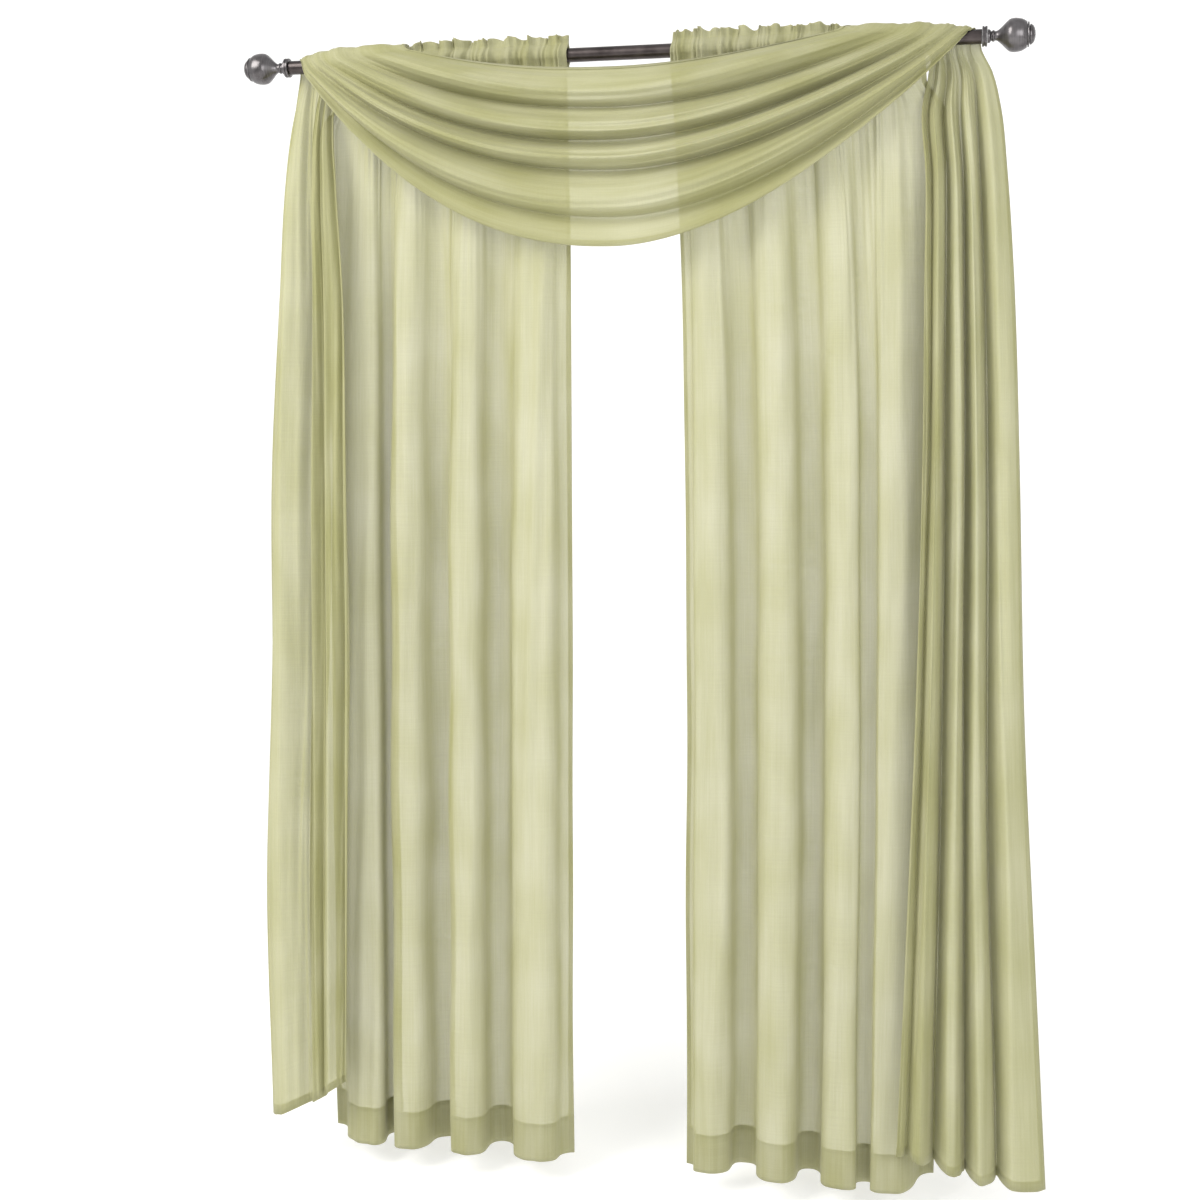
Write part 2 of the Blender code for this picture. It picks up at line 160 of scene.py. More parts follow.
TAIL_LEANS = {"left": 0.015, "right": -0.010}  # and lean this far towards the middle
SWAG_TOP_Z = -0.032
SWAG_BOTTOM_Z = -0.355
SWAG_Y = -0.041
SWAG_FORWARD = 3.0  # how fast the swag comes forward from its ends to SWAG_Y
SWAG_DEPTH = 0.049
SWAG_DEEPENING = 1.6  # and its folds deepen to SWAG_DEPTH
SWAG_DROOP = 0.20  # its crests droop by up to this share of a pleat's width
LEFT_FULLNESS = 2.25  # the larger this power, the fuller that half of the swag hangs
RIGHT_FULLNESS = 1.80

# ---------------------------------------------------------------- what the scene adds to the panels
PANEL_WIDTH = 1.02  # the flat cloth
PANEL_COLUMNS = 330
BODY_ROWS = 120
BODY_CROWDING = 1.5  # above 1, the body's rows lie closer together towards the rod
HEM_HEIGHT = 0.075
HEM_ROWS = 8
SIDE_HEM = 0.012  # its width
LAYER = 0.0007  # from one layer of a folded hem to the next
PANEL_SIDE_LAYERS = 3.0  # a side hem lies this many layers back, clear of the bottom hem
PANEL_LEFT_SEED = 7
PANEL_RIGHT_SEED = 19
OPENING_LENGTH = 0.52  # the folds open over about this height under the rod
FOLD_LEAN = 0.13  # a fold's front is widened by up to this share of a turn
FOLD_LOOP = 0.009  # and its flanks swing sideways this far
WANDER_DROP = 0.5  # the folds wander in full from this far under the seam
WANDER_EDGES = 12.0  # and less within a 12th of the width from a side
WAVES_DROP = 0.3  # and wave softly in full from this far

MAIN_GATHERS = 11
MAIN_DEPTH = 0.0125
MAIN_EVEN = 0.85  # the mean height of a gather, as a share of its depth
MAIN_FADE = 0.16  # gathers fade over about this height under the rod
MAIN_RUFFLE = 0.0055  # how far the ruffle waves to each side of its middle
MAIN_CURL = (0.0020, 1.0)  # sideways wave of the ruffle: height, and start in radians
FINE_GATHERS = 34
FINE_DEPTH = 0.0070
FINE_EVEN = 0.75
FINE_FADE = 0.10
FINE_RUFFLE = 0.0045
FINE_CURL = (0.0012, 0.6)
TOP_FULLNESS = 0.0100  # the cloth swells towards the room under the pocket
TOP_FADE = 0.17
RUFFLE_DIP = 0.0026  # the ruffle's edge is lower between gathers
RUFFLE_LIMIT = 0.0024
SLANT_FOOT = -0.02  # the heading slants sideways from this height up
SLANT_HEIGHT = 0.06

CREASES = 34
CREASE_SHARES = (0.01, 0.99)  # where across the panel they start
CREASE_SLANT = 0.012  # spread of their slants, in shares of the width for each metre down
CREASE_WIDTHS = (0.004, 0.010)
CREASE_WIDENING = 0.8  # for each metre down
CREASE_LENGTHS = (0.10, 0.60)
CREASE_HEIGHTS = (-0.0035, 0.0050)

# round the pocket: degrees above the rod's axis, and how far the gathers puff out
POCKET_FRONT = ((-52, 1.0), (-20, 0.9), (14, 0.8), (46, 0.6))
POCKET_BACK = ((46, -0.42), (14, -0.55), (-20, -0.50), (-52, -0.26))
# above it: Y, Z, how far the gathers puff out, and how far the ruffle waves
HEADING_ROWS = (
    (-0.0040, 0.0192, 0.40, 0.16),
    (-0.0040, 0.0280, 0.30, 0.62),
    (-0.0036, 0.0356, 0.26, 0.98),
    (-0.0010, HEADING_HEIGHT, 0.26, 1.05),
    (0.0014, 0.0356, 0.26, 0.98),
    (0.0010, 0.0280, 0.28, 0.62),
    (0.0020, 0.0192, 0.10, 0.16),
)
POCKET_START = (-0.0045, POCKET_STITCH, 1.0, 0.0)
POCKET_END = (0.0014, POCKET_STITCH + 0.002, 0.0, 0.0)
POCKET_ROW_STEP = 0.0024
POCKET_RUN = 0.052  # along the cloth, from the seam under the rod to the one under the heading
RUN_COLUMNS = 16  # lengths along the cloth are measured in every 16th column

# ---------------------------------------------------------------- what the scene adds to the scarf
SCARF_WIDTH = 0.57
PLEAT_STEPS = 42  # columns to a pleat
SWAG_HALF_ROWS = 48
TAIL_ROW_STEP = 0.018  # from row to row along the tails and swag
ROD_ROW_STEP = 0.005  # and over the rod
ROD_ROW_SPAN = 0.05  # sections closer together than this take the rod's finer rows
SCARF_HEM_ROWS = 1
SCARF_HEM_COLUMNS = 2
SCARF_SIDE_LAYERS = 2.0
SCARF_SEED = 41
EDGE_STEADY = 2.5  # the pleats wander in full from 1 / 2.5 of a pleat away from an edge
SWAG_WANDER = 0.4  # how much the pleats wander in the swag, against 1 in the tails
TAIL_END = 6.0  # they wander as in the swag where it hangs by 1 / 6 of its drop or more
SWAG_CREASED = 2.0  # and have sharp creases between their crests where it hangs by 1 / 2 or more
CREASE_DEPTH = 0.04  # small creases are in full where the folds are this deep
FINE_CREASE_DEPTH = 0.03  # and finer ones where they are this deep
ROD_CREASE_HEIGHT = 0.0006
ROD_CREASES = 3.0  # to a pleat, where the scarf lies on the rod

# ---------------------------------------------------------------- soft waves
WAVE_COUNT = 7
WAVE_SPREAD = (0.6, 1.7)
# Height, and length across and down the cloth. Across is in shares of a panel's width, in metres for
# body_x and body_y, and in pleats for the scarf. Down is in metres.
WAVES = {
    "main_phase": (0.30, 0.22, 1.0),
    "fine_phase": (0.70, 0.11, 1.0),
    "main_height": (0.25, 0.17, 1.0),
    "fine_height": (0.45, 0.09, 1.0),
    "fold_wander": (0.0045, 0.30, 1.6),
    "fine_fade": (0.08, 0.20, 1.0),
    "body_y": (0.0022, 0.05, 0.9),
    "body_x": (0.0016, 0.11, 0.7),
    "ruffle": (0.0018, 0.03, 1.0),
    "ruffle_height": (0.0034, 0.05, 1.0),
    "ruffle_slant": (0.0045, 0.05, 1.0),
    "pleat_wander": (0.07, 2.6, 1.4),
    "pleat_depth": (0.16, 2.2, 0.9),
    "scarf_crease": (0.0032, 0.42, 1.3),
    "scarf_fine_crease": (0.0012, 0.19, 0.8),
    "rod_crease_phase": (0.30, 1.0, 0.4),
}

# ---------------------------------------------------------------- looks, floor, light and camera
METAL_SIDES = 96
ROD_RINGS = 40
BALL_RINGS = 26
ROD_CHAMFER = 0.0006
SHARP_ANGLE = math.radians(42)

# voile: its colour where it is light and where it is deep, and how much of it the threads cover
PANEL_VOILE = ((0.448, 0.440, 0.282), (0.362, 0.355, 0.170), 0.84)
SCARF_VOILE = ((0.438, 0.430, 0.258), (0.352, 0.347, 0.160), 0.87)
THREAD = 0.00062  # from one thread to the next
STITCH = 0.0028  # from one stitch to the next
STITCH_REACH = (0.00022, 0.00055)  # a seam's thread fades out between these distances
PUCKER_REACH = 0.0035

# metal: dark and worn colours, roughness, and how fine its lathe lines are along X, Y and Z
ROD_METAL = ((0.040, 0.032, 0.031), (0.085, 0.070, 0.068), 0.30, (3.0, 900.0, 900.0))
PEWTER = ((0.085, 0.078, 0.080), (0.19, 0.18, 0.185))
PEWTER_LINES = (1400.0, 25.0, 25.0)
FINIAL_ROUGHNESS = 0.26
COLLAR_ROUGHNESS = 0.30

FLOOR_GAP = 0.05  # the hems hang this far above the floor
FLOOR_FRONT = -40.0
STAGE_HALF_WIDTH = 40.0
WALL_Y = 6.5
WALL_TOP = 7.0
WALL_BEND = 1.5
WALL_BEND_STEPS = 24
STAGE_COLOR = (0.96, 0.96, 0.955, 1.0)
STAGE_GLOW = 0.17
WORLD_STRENGTH = 0.72

# lights: place, aim, size, power and colour
KEY_LIGHT = ((-2.4, -2.6, 1.5), (0.0, 0.0, -0.9), 2.6, 160.0, (1.0, 0.985, 0.95))
FILL_LIGHT = ((2.6, -3.4, 0.0), (0.0, 0.0, -1.0), 2.4, 76.0, (1.0, 1.0, 1.0))

CAMERA_YAW = math.radians(12.24)
CAMERA_PITCH = math.radians(5.83)
CAMERA_DISTANCE = 3.297
CAMERA_AIM = Vector((-0.040, 0.0, -1.006))
CAMERA_LENS = 52.3
CAMERA_SENSOR = 36.0
TRANSPARENT_BOUNCES = 48


# ---------------------------------------------------------------- small helpers
def lerp(a, b, share):
    """The value that lies the given share of the way from a to b."""
    return a + (b - a) * share


def smooth(share):
    """Eases a share between 0 and 1."""
    share = np.clip(share, 0.0, 1.0)
    return share * share * (3.0 - 2.0 * share)


def waves(rng, name, first, second):
    """The soft irregular waves of that name over two coordinates of the cloth."""
    height, first_length, second_length = WAVES[name]
    total = 0.0
    for _ in range(WAVE_COUNT):
        first_step = first_length * rng.uniform(*WAVE_SPREAD)
        sign = rng.choice((-1.0, 1.0))
        second_step = second_length * rng.uniform(*WAVE_SPREAD)
        start = rng.uniform(0.0, TAU)
        total = total + np.sin(TAU * first / first_step * sign + TAU * second / second_step + start)
    return height * (total / math.sqrt(2.0 * WAVE_COUNT))


def crest(phase):
    """A round wave from 0 to 1, with one crest for each whole number of the phase."""
    return (1.0 - np.cos(TAU * phase)) / 2.0


def running_length(steps):
    """The length so far at each point, from the steps between them."""
    return np.concatenate(([0.0], np.cumsum(steps)))


def curve_through(values, marks, places):
    """Reads a smooth curve through rows of values at the given marks."""
    values = np.asarray(values, float)
    slopes = np.gradient(values, marks, axis=0)
    index = np.clip(np.searchsorted(marks, places, side="right") - 1, 0, len(marks) - 2)
    length = (marks[index + 1] - marks[index]).reshape(-1, *([1] * (values.ndim - 1)))
    t = (places - marks[index]).reshape(length.shape) / length
    return (
        values[index] * (1.0 + 2.0 * t) * (1.0 - t) ** 2
        + slopes[index] * length * t * (1.0 - t) ** 2
        + values[index + 1] * t * t * (3.0 - 2.0 * t)
        + slopes[index + 1] * length * t * t * (t - 1.0)
    )


def grid_normals(points):
    """Unit normals of a grid of points, along columns crossed with rows."""
    normals = np.cross(np.gradient(points, axis=1), np.gradient(points, axis=0))
    return normals / np.maximum(np.linalg.norm(normals, axis=2, keepdims=True), 1e-9)


def add_object(name, mesh):
    """A new object of the mesh, in the scene."""
    made = bpy.data.objects.new(name, mesh)
    bpy.context.scene.collection.objects.link(made)
    return made


# ---------------------------------------------------------------- cloth sheets
def sheet_object(name, points, cloth):
    """A cloth surface on a grid of points, with cloth coordinates kept as an attribute."""
    rows, columns = points.shape[:2]
    index = np.arange(rows * columns).reshape(rows, columns)
    faces = np.stack((index[:-1, :-1], index[:-1, 1:], index[1:, 1:], index[1:, :-1]), axis=2)
    mesh = bpy.data.meshes.new(name)
    mesh.from_pydata(points.reshape(-1, 3).tolist(), [], faces.reshape(-1, 4).tolist())
    attribute = mesh.attributes.new("cloth", "FLOAT_VECTOR", "POINT")
    attribute.data.foreach_set("vector", cloth.reshape(-1).astype(np.float32))
    mesh.shade_smooth()
    return add_object(name, mesh)


def cloth_coordinates(across, along, stitch):
    """Place across and along the flat cloth and distance to the nearest stitches, for every point."""
    across = np.broadcast_to(across, stitch.shape)
    along = np.broadcast_to(along, stitch.shape)
    return np.stack((across, along, stitch), axis=2)


def fold_hems(plain, cloth, rows, columns, side_layers, back):
    """The sheet with its hems folded behind it.

    Rows and columns are pairs of an index into the plain sheet and the layer that it lies in. A column's
    layer counts side_layers times. The sign of back says which way the normals point to the sheet's back.
    """
    row_order, row_layer = zip(*rows)
    column_order, column_layer = zip(*columns)
    away = LAYER * (np.array(row_layer)[:, None] + side_layers * np.array(column_layer)[None, :])
    grid = np.ix_(row_order, column_order)
    return plain[grid] + grid_normals(plain)[grid] * (back * away)[:, :, None], cloth[grid]


# ---------------------------------------------------------------- panels
def panel_section(share, turns, opened, z):
    """X and Y of a panel at a share of its width and a height, with its folds opened so far."""
    x_rod, x_hem, y_hem = np.array(turns).T
    place = share * (len(turns) - 1)
    turn = np.minimum(place.astype(int), len(turns) - 2)
    step = place - turn
    outer = int(np.argmax(np.abs(x_rod)))
    edge_opened = np.maximum(opened, EDGE_OPENED * smooth((EDGE_TOP - z) / EDGE_DROP))
    x_start = lerp(x_rod[turn], x_hem[turn], np.where(turn == outer, edge_opened, opened))
    x_end = lerp(x_rod[turn + 1], x_hem[turn + 1], np.where(turn + 1 == outer, edge_opened, opened))
    y_start, y_end = y_hem[turn], y_hem[turn + 1]
    backward = np.where(y_start < y_end, 1.0, -1.0)
    across = step + FOLD_LEAN * backward * np.sin(math.pi * step) * opened
    loop = FOLD_LOOP * opened * np.sin(TAU * step)
    x = lerp(x_start, x_end, across) + loop
    y = lerp(y_start, y_end, (1.0 - np.cos(math.pi * step)) / 2.0) * opened
    return x, y


def gathers(rng, share):
    """Irregular large and fine gathers of a panel at the rod: heights from about 0 to 1, and phases."""
    none = np.zeros_like(share)
    main_phase = MAIN_GATHERS * share + waves(rng, "main_phase", share, none)
    fine_phase = FINE_GATHERS * share + waves(rng, "fine_phase", share, none)
    main = crest(main_phase) * (MAIN_EVEN + waves(rng, "main_height", share, none))
    fine = crest(fine_phase) * (FINE_EVEN + waves(rng, "fine_height", share, none))
    return main, fine, main_phase, fine_phase


def panel_creases(rng, share, z):
    """Small creases that start at the pocket's seam and fade on their way down."""
    total = np.zeros(np.broadcast(share, z).shape)
    for _ in range(CREASES):
        centre = rng.uniform(*CREASE_SHARES) + rng.normal(0.0, CREASE_SLANT) * z
        width = rng.uniform(*CREASE_WIDTHS) * (1.0 - CREASE_WIDENING * z)
        length = rng.uniform(*CREASE_LENGTHS)
        height = rng.uniform(*CREASE_HEIGHTS)
        total = total + height * np.exp(-(((share - centre) / width) ** 2)) * np.exp(z / length)
    return total


def panel_body(rng, share, turns, main, fine):
    """A panel's points from its bottom edge up to the pocket's seam."""
    hem_z = np.linspace(HEM_Z, HEM_Z + HEM_HEIGHT, HEM_ROWS + 1)
    rise = (np.arange(1, BODY_ROWS + 1) / BODY_ROWS) ** BODY_CROWDING
    body_z = POCKET_STITCH - (POCKET_STITCH - hem_z[-1]) * rise[::-1]
    z = np.concatenate((hem_z, body_z[1:], [POCKET_STITCH]))[:, None]

    opened = 1.0 - np.exp((z - POCKET_STITCH) / OPENING_LENGTH)
    wander = waves(rng, "fold_wander", share[None, :], z) * smooth((POCKET_STITCH - z) / WANDER_DROP)
    wander = wander * np.minimum(1.0, WANDER_EDGES * np.minimum(share, 1.0 - share))
    x, y = panel_section(np.clip(share + wander, 0.0, 1.0), turns, opened, z)

    fade_main = np.exp((z - POCKET_STITCH) / MAIN_FADE)
    fine_length = FINE_FADE + waves(rng, "fine_fade", share, np.zeros_like(share))
    fade_fine = np.exp((z - POCKET_STITCH) / fine_length)
    y = y - TOP_FULLNESS * np.exp(z / TOP_FADE)
    y = y - MAIN_DEPTH * main * fade_main - FINE_DEPTH * fine * fade_fine
    y = y - panel_creases(rng, share[None, :], z)
    y = y + waves(rng, "body_y", x, z) * smooth((POCKET_STITCH - z) / WAVES_DROP)
    x = x + waves(rng, "body_x", x, z) * smooth((POCKET_STITCH - z) / WAVES_DROP)
    return np.stack((x, y, np.broadcast_to(z, x.shape)), axis=2)


def pocket_arc(arc, side):
    """Rows of the pocket's cloth round the rod, on the room side (-1) or the window side (1)."""
    rows = []
    for degrees, puff in arc:
        angle = math.radians(degrees)
        rows.append((side * POCKET_RADIUS * math.cos(angle), POCKET_RADIUS * math.sin(angle), puff, 0.0))
    return rows


def pocket_path():
    """Rows round the pocket and heading: Y, Z, how far the gathers puff out, and how far the ruffle waves."""
    front = pocket_arc(POCKET_FRONT, -1.0)
    back = pocket_arc(POCKET_BACK, 1.0)
    path = np.array([POCKET_START, *front, *HEADING_ROWS, *back, POCKET_END])
    marks = running_length(np.hypot(*np.diff(path[:, :2], axis=0).T))
    steps = np.arange(0.0, marks[-1], POCKET_ROW_STEP)[1:]
    return curve_through(path, marks, np.append(steps, marks[-1]))


def panel_top(rng, share, turns, main, fine, main_phase, fine_phase):
    """A panel's points round the rod and up and down its ruffled heading."""
    y, z, puff, wave = (column[:, None] for column in pocket_path().T)
    x_rod, _ = panel_section(share, turns, 0.0, 0.0)
    none = np.zeros_like(share)
    ruffle = MAIN_RUFFLE * (1.0 - 2.0 * main) + FINE_RUFFLE * (1.0 - 2.0 * fine)
    ruffle = ruffle + waves(rng, "ruffle", share, none)
    curl = MAIN_CURL[0] * np.sin(TAU * main_phase + MAIN_CURL[1])
    curl = curl + FINE_CURL[0] * np.sin(TAU * fine_phase + FINE_CURL[1])
    height = waves(rng, "ruffle_height", share, none) - RUFFLE_DIP * (1.0 - main)
    height = np.minimum(height, RUFFLE_LIMIT)
    left = (PRESSED_HEIGHT - HEADING_FOOT) / (HEADING_HEIGHT - HEADING_FOOT)
    pressed = lerp(1.0, left, smooth((np.abs(x_rod) - PRESSED_START) / PRESSED_STEP))
    waving = wave * lerp(1.0, pressed, wave)
    slant = waves(rng, "ruffle_slant", share, none) * smooth((z - SLANT_FOOT) / SLANT_HEIGHT)
    return np.stack(
        (
            x_rod + curl * waving + slant,
            y - (MAIN_DEPTH * main + FINE_DEPTH * fine) * puff + ruffle * waving,
            z + np.maximum(z - HEADING_FOOT, 0.0) * (pressed - 1.0) + height * waving,
        ),
        axis=2,
    )


def panel_cloth(plain, share, pocket_row):
    """A panel's cloth coordinates, with seams at the hem, the pocket, the heading and the sides."""
    steps = np.linalg.norm(np.diff(plain[:, ::RUN_COLUMNS], axis=0), axis=2)
    along = running_length(steps.mean(axis=1))
    across = share * PANEL_WIDTH
    heading_row = pocket_row + int(POCKET_RUN / POCKET_ROW_STEP)
    seams = along[[HEM_ROWS, pocket_row, heading_row]]
    to_seam = np.abs(along[:, None] - seams).min(axis=1)[:, None]
    to_side = np.minimum(np.abs(across - SIDE_HEM), np.abs(PANEL_WIDTH - SIDE_HEM - across))
    return cloth_coordinates(across, along[:, None], np.minimum(to_seam, to_side[None, :]))


def panel_hems(plain, cloth):
    """A panel with its double bottom hem and its side hems."""
    rows = [(HEM_ROWS - 1, 1.0)]
    rows += [(row, 2.0) for row in range(HEM_ROWS, -1, -1)]
    rows += [(row, 0.0) for row in range(len(plain))]
    side = max(2, round(SIDE_HEM / PANEL_WIDTH * PANEL_COLUMNS))
    columns = [(column, 1.0) for column in range(side, -1, -1)]
    columns += [(column, 0.0) for column in range(PANEL_COLUMNS + 1)]
    columns += [(column, 1.0) for column in range(PANEL_COLUMNS, PANEL_COLUMNS - side - 1, -1)]
    middle_normal = grid_normals(plain)[HEM_ROWS + 1, PANEL_COLUMNS // 2]
    back = 1.0 if middle_normal[1] > 0.0 else -1.0
    return fold_hems(plain, cloth, rows, columns, PANEL_SIDE_LAYERS, back)


def build_panel(name, turns, seed):
    """One gathered panel: body, double hem, side hems, rod pocket and ruffled heading, all one sheet."""
    rng = np.random.default_rng(seed)
    share = np.linspace(0.0, 1.0, PANEL_COLUMNS + 1)
    main, fine, main_phase, fine_phase = gathers(rng, share)
    body = panel_body(rng, share, turns, main, fine)
    top = panel_top(rng, share, turns, main, fine, main_phase, fine_phase)
    plain = np.concatenate((body, top))
    points, cloth = panel_hems(plain, panel_cloth(plain, share, len(body) - 1))
    panel = sheet_object(name, points, cloth)
    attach(panel, "root")
    return panel


# ---------------------------------------------------------------- scarf
def tail_sections(table, side, name):
    """One tail's sections from its hem to the front of the rod, each knowing where its pleats lie."""
    pleats = [dict(zip(PLEAT_COLUMNS, row)) for row in PLEAT_ROWS]
    sections = [dict(zip(SECTION_COLUMNS, row), side=side, hang=0.0) for row in table]
    for k, section in enumerate(sections):
        swag_share = max(0.0, (k - FREE_SECTIONS) / (len(sections) - 1.0 - FREE_SECTIONS))
        section["tail"] = max(0.0, 1.0 - TAIL_FADE * swag_share)
        section["lean"] = TAIL_LEANS[name]
        section["ends"] = [lerp(pleat[name], pleat["swag"], swag_share) for pleat in pleats]
        section["stands"] = [lerp(pleat[f"{name}_stand"], 1.0, swag_share) for pleat in pleats]
        section["backs"] = [lerp(pleat[f"{name}_back"], 0.0, swag_share) for pleat in pleats]
    sections[0]["hem"] = [pleat[f"{name}_hem"] for pleat in pleats]
    return sections


def swag_section(end, reach, fullness):
    """One section of the swag, at a share of the way from its middle to the end section."""
    hang = 1.0 - reach**fullness
    forward = min(1.0, SWAG_FORWARD * hang)
    return dict(
        end,
        x_in=end["x_in"] * reach,
        x_out=end["x_out"] * reach,
        y_in=lerp(end["y_in"], SWAG_Y, forward),
        y_out=lerp(end["y_out"], SWAG_Y, forward),
        z_in=lerp(end["z_in"], SWAG_TOP_Z, hang),
        z_out=lerp(end["z_out"], SWAG_BOTTOM_Z, hang),
        depth=lerp(end["depth"], SWAG_DEPTH, min(1.0, SWAG_DEEPENING * hang)),
        hang=hang,
    )


def scarf_sections():
    """Every section of the scarf, from the left hem to the right one."""
    left = tail_sections(LEFT_TAIL, -1.0, "left")
    right = tail_sections(RIGHT_TAIL, 1.0, "right")
    reaches = [k / SWAG_HALF_ROWS for k in range(SWAG_HALF_ROWS)]
    swag = [swag_section(left[-1], reach, LEFT_FULLNESS) for reach in reversed(reaches)]
    swag += [swag_section(right[-1], reach, RIGHT_FULLNESS) for reach in reaches[1:]]
    return left + swag + right[::-1]


def section_points(row, places):
    """The points of one section before it is pleated, at places counted in pleats."""
    marks = [*range(WHOLE_PLEATS + 1), WHOLE_PLEATS + LAST_PLEAT]
    share = np.interp(places, marks, row["ends"])
    x = lerp(row["x_in"], row["x_out"], 1.0 - (1.0 - share) ** row["spread"])
    step = np.maximum(0.0, (x - OVER_START) / (row["x_out"] - OVER_START)) ** OVER_POWER
    step = step if row["over"] else share
    z = np.interp(places, marks, row["hem"]) if "hem" in row else lerp(row["z_in"], row["z_out"], step)
    y = lerp(row["y_in"], row["y_out"], step)
    return np.stack((row["side"] * x, y, z), axis=1)


def scarf_rows(marks):
    """Where the scarf's fine rows lie along its length: closer together over the rod."""
    rows = []
    for start, end in zip(marks[:-1], marks[1:]):
        step = ROD_ROW_STEP if end - start < ROD_ROW_SPAN else TAIL_ROW_STEP
        count = max(1, round((end - start) / step))
        rows += [lerp(start, end, k / count) for k in range(count)]
    return np.array(rows + [marks[-1]])


class Scarf:
    """The scarf's values at its fine rows, read from its sections, and its surface before pleating."""

    def __init__(self, places):
        self.places = places
        self.sections = scarf_sections()
        coarse = np.array([section_points(row, places) for row in self.sections])
        lengths = np.linalg.norm(np.diff(coarse, axis=0), axis=2).mean(axis=1)
        self.marks = running_length(lengths)
        self.along = scarf_rows(self.marks)
        self.base = curve_through(coarse, self.marks, self.along)
        depths = [row["depth"] for row in self.sections]
        self.depth = curve_through(depths, self.marks, self.along)[:, None]

    def read(self, key):
        """A value of the sections at the fine rows, as a column, or one column for each pleat's end."""
        columns = np.array([row[key] for row in self.sections], float).reshape(len(self.sections), -1).T
        return np.stack([np.interp(self.along, self.marks, column) for column in columns], axis=1)

    def directions(self):
        """Unit vectors across the scarf and out of its surface."""
        across = np.gradient(self.base, axis=1)
        across /= np.linalg.norm(across, axis=2, keepdims=True)
        out = np.cross(across, np.gradient(self.base, self.along, axis=0))
        out /= np.linalg.norm(out, axis=2, keepdims=True)
        return across, out


def pleat_phase(rng, scarf, hang):
    """How many pleats have passed at each point, with pleats that wander a little between the edges."""
    places = scarf.places
    from_edge = np.minimum(places, WHOLE_PLEATS + LAST_PLEAT - places)
    steady = np.minimum(1.0, EDGE_STEADY * from_edge)[None, :]
    in_tail = 1.0 - smooth(hang * TAIL_END)
    share = SWAG_WANDER + (1.0 - SWAG_WANDER) * in_tail
    wander = waves(rng, "pleat_wander", places[None, :], scarf.along[:, None])
    return places[None, :] + steady * wander * share


def small_creases(rng, scarf, phase):
    """Small creases along the scarf, and finer ones where it is pulled over the rod."""
    across = scarf.places[None, :]
    run = scarf.along[:, None]
    creases = waves(rng, "scarf_crease", across, run) * smooth(scarf.depth / CREASE_DEPTH)
    creases = creases + waves(rng, "scarf_fine_crease", across, run) * smooth(scarf.depth / FINE_CREASE_DEPTH)
    on_rod = ROD_CREASES * phase + waves(rng, "rod_crease_phase", across, run)
    return creases + ROD_CREASE_HEIGHT * smooth(scarf.read("over")) * np.sin(TAU * on_rod)


def pleated(rng, scarf):
    """The scarf's points: round folds in the tails, and crests with sharp creases between in the swag."""
    hang = scarf.read("hang")
    tail = scarf.read("tail")
    ends = scarf.read("ends")
    stands = scarf.read("stands")
    backs = scarf.read("backs")
    phase = pleat_phase(rng, scarf, hang)
    forward = lerp(crest(phase), np.abs(np.sin(math.pi * phase)), smooth(SWAG_CREASED * hang))

    pleat = np.minimum(scarf.places.astype(int), WHOLE_PLEATS)
    whole_width = np.linalg.norm(scarf.base[:, -1] - scarf.base[:, 0], axis=1)[:, None]
    width = whole_width * (ends[:, pleat + 1] - ends[:, pleat])
    droop = hang * SWAG_DROOP * width
    droop[:, pleat == WHOLE_PLEATS] = 0.0

    pleat_stand = stands[:, pleat]
    back = lerp(backs[:, pleat], backs[:, pleat + 1], smooth(scarf.places - pleat))
    deep = back + (1.0 - back) * pleat_stand * forward
    uneven = 1.0 + waves(rng, "pleat_depth", scarf.places[None, :], scarf.along[:, None])
    stand = scarf.depth * deep * uneven + small_creases(rng, scarf, phase)
    widen = FRONT_WIDENING * pleat_stand * width * np.sin(TAU * phase)
    shift = droop * forward + tail * (widen - scarf.read("lean") * deep)
    across, out = scarf.directions()
    return scarf.base + out * stand[:, :, None] + across * shift[:, :, None]


def scarf_cloth(scarf):
    """The scarf's cloth coordinates, with a seam along its narrow hem all round."""
    along = scarf.along
    across = scarf.places / scarf.places[-1] * SCARF_WIDTH
    side_seams = across[SCARF_HEM_COLUMNS], across[-1 - SCARF_HEM_COLUMNS]
    end_seams = along[SCARF_HEM_ROWS], along[-1 - SCARF_HEM_ROWS]
    to_side = np.minimum(*(np.abs(across - seam) for seam in side_seams))[None, :]
    to_end = np.minimum(*(np.abs(along - seam) for seam in end_seams))[:, None]
    return cloth_coordinates(across, along[:, None], np.minimum(to_side, to_end))


def scarf_hems(plain, cloth):
    """The scarf with its narrow hem all round."""
    last_row = len(plain) - 1
    last_column = plain.shape[1] - 1
    rows = [(SCARF_HEM_ROWS, 1.0), (0, 1.0)]
    rows += [(row, 0.0) for row in range(last_row + 1)]
    rows += [(last_row, 1.0), (last_row - SCARF_HEM_ROWS, 1.0)]
    columns = [(SCARF_HEM_COLUMNS, 1.0), (0, 1.0)]
    columns += [(column, 0.0) for column in range(last_column + 1)]
    columns += [(last_column, 1.0), (last_column - SCARF_HEM_COLUMNS, 1.0)]
    return fold_hems(plain, cloth, rows, columns, SCARF_SIDE_LAYERS, 1.0)


def build_scarf():
    """The scarf: two tails, the pleated swag between them and a narrow hem all round."""
    rng = np.random.default_rng(SCARF_SEED)
    width = WHOLE_PLEATS + LAST_PLEAT
    scarf = Scarf(np.linspace(0.0, width, int(width * PLEAT_STEPS) + 1))
    points, cloth = scarf_hems(pleated(rng, scarf), scarf_cloth(scarf))
    made = sheet_object("scarf_sheet", points, cloth)
    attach(made, "root")
    return made


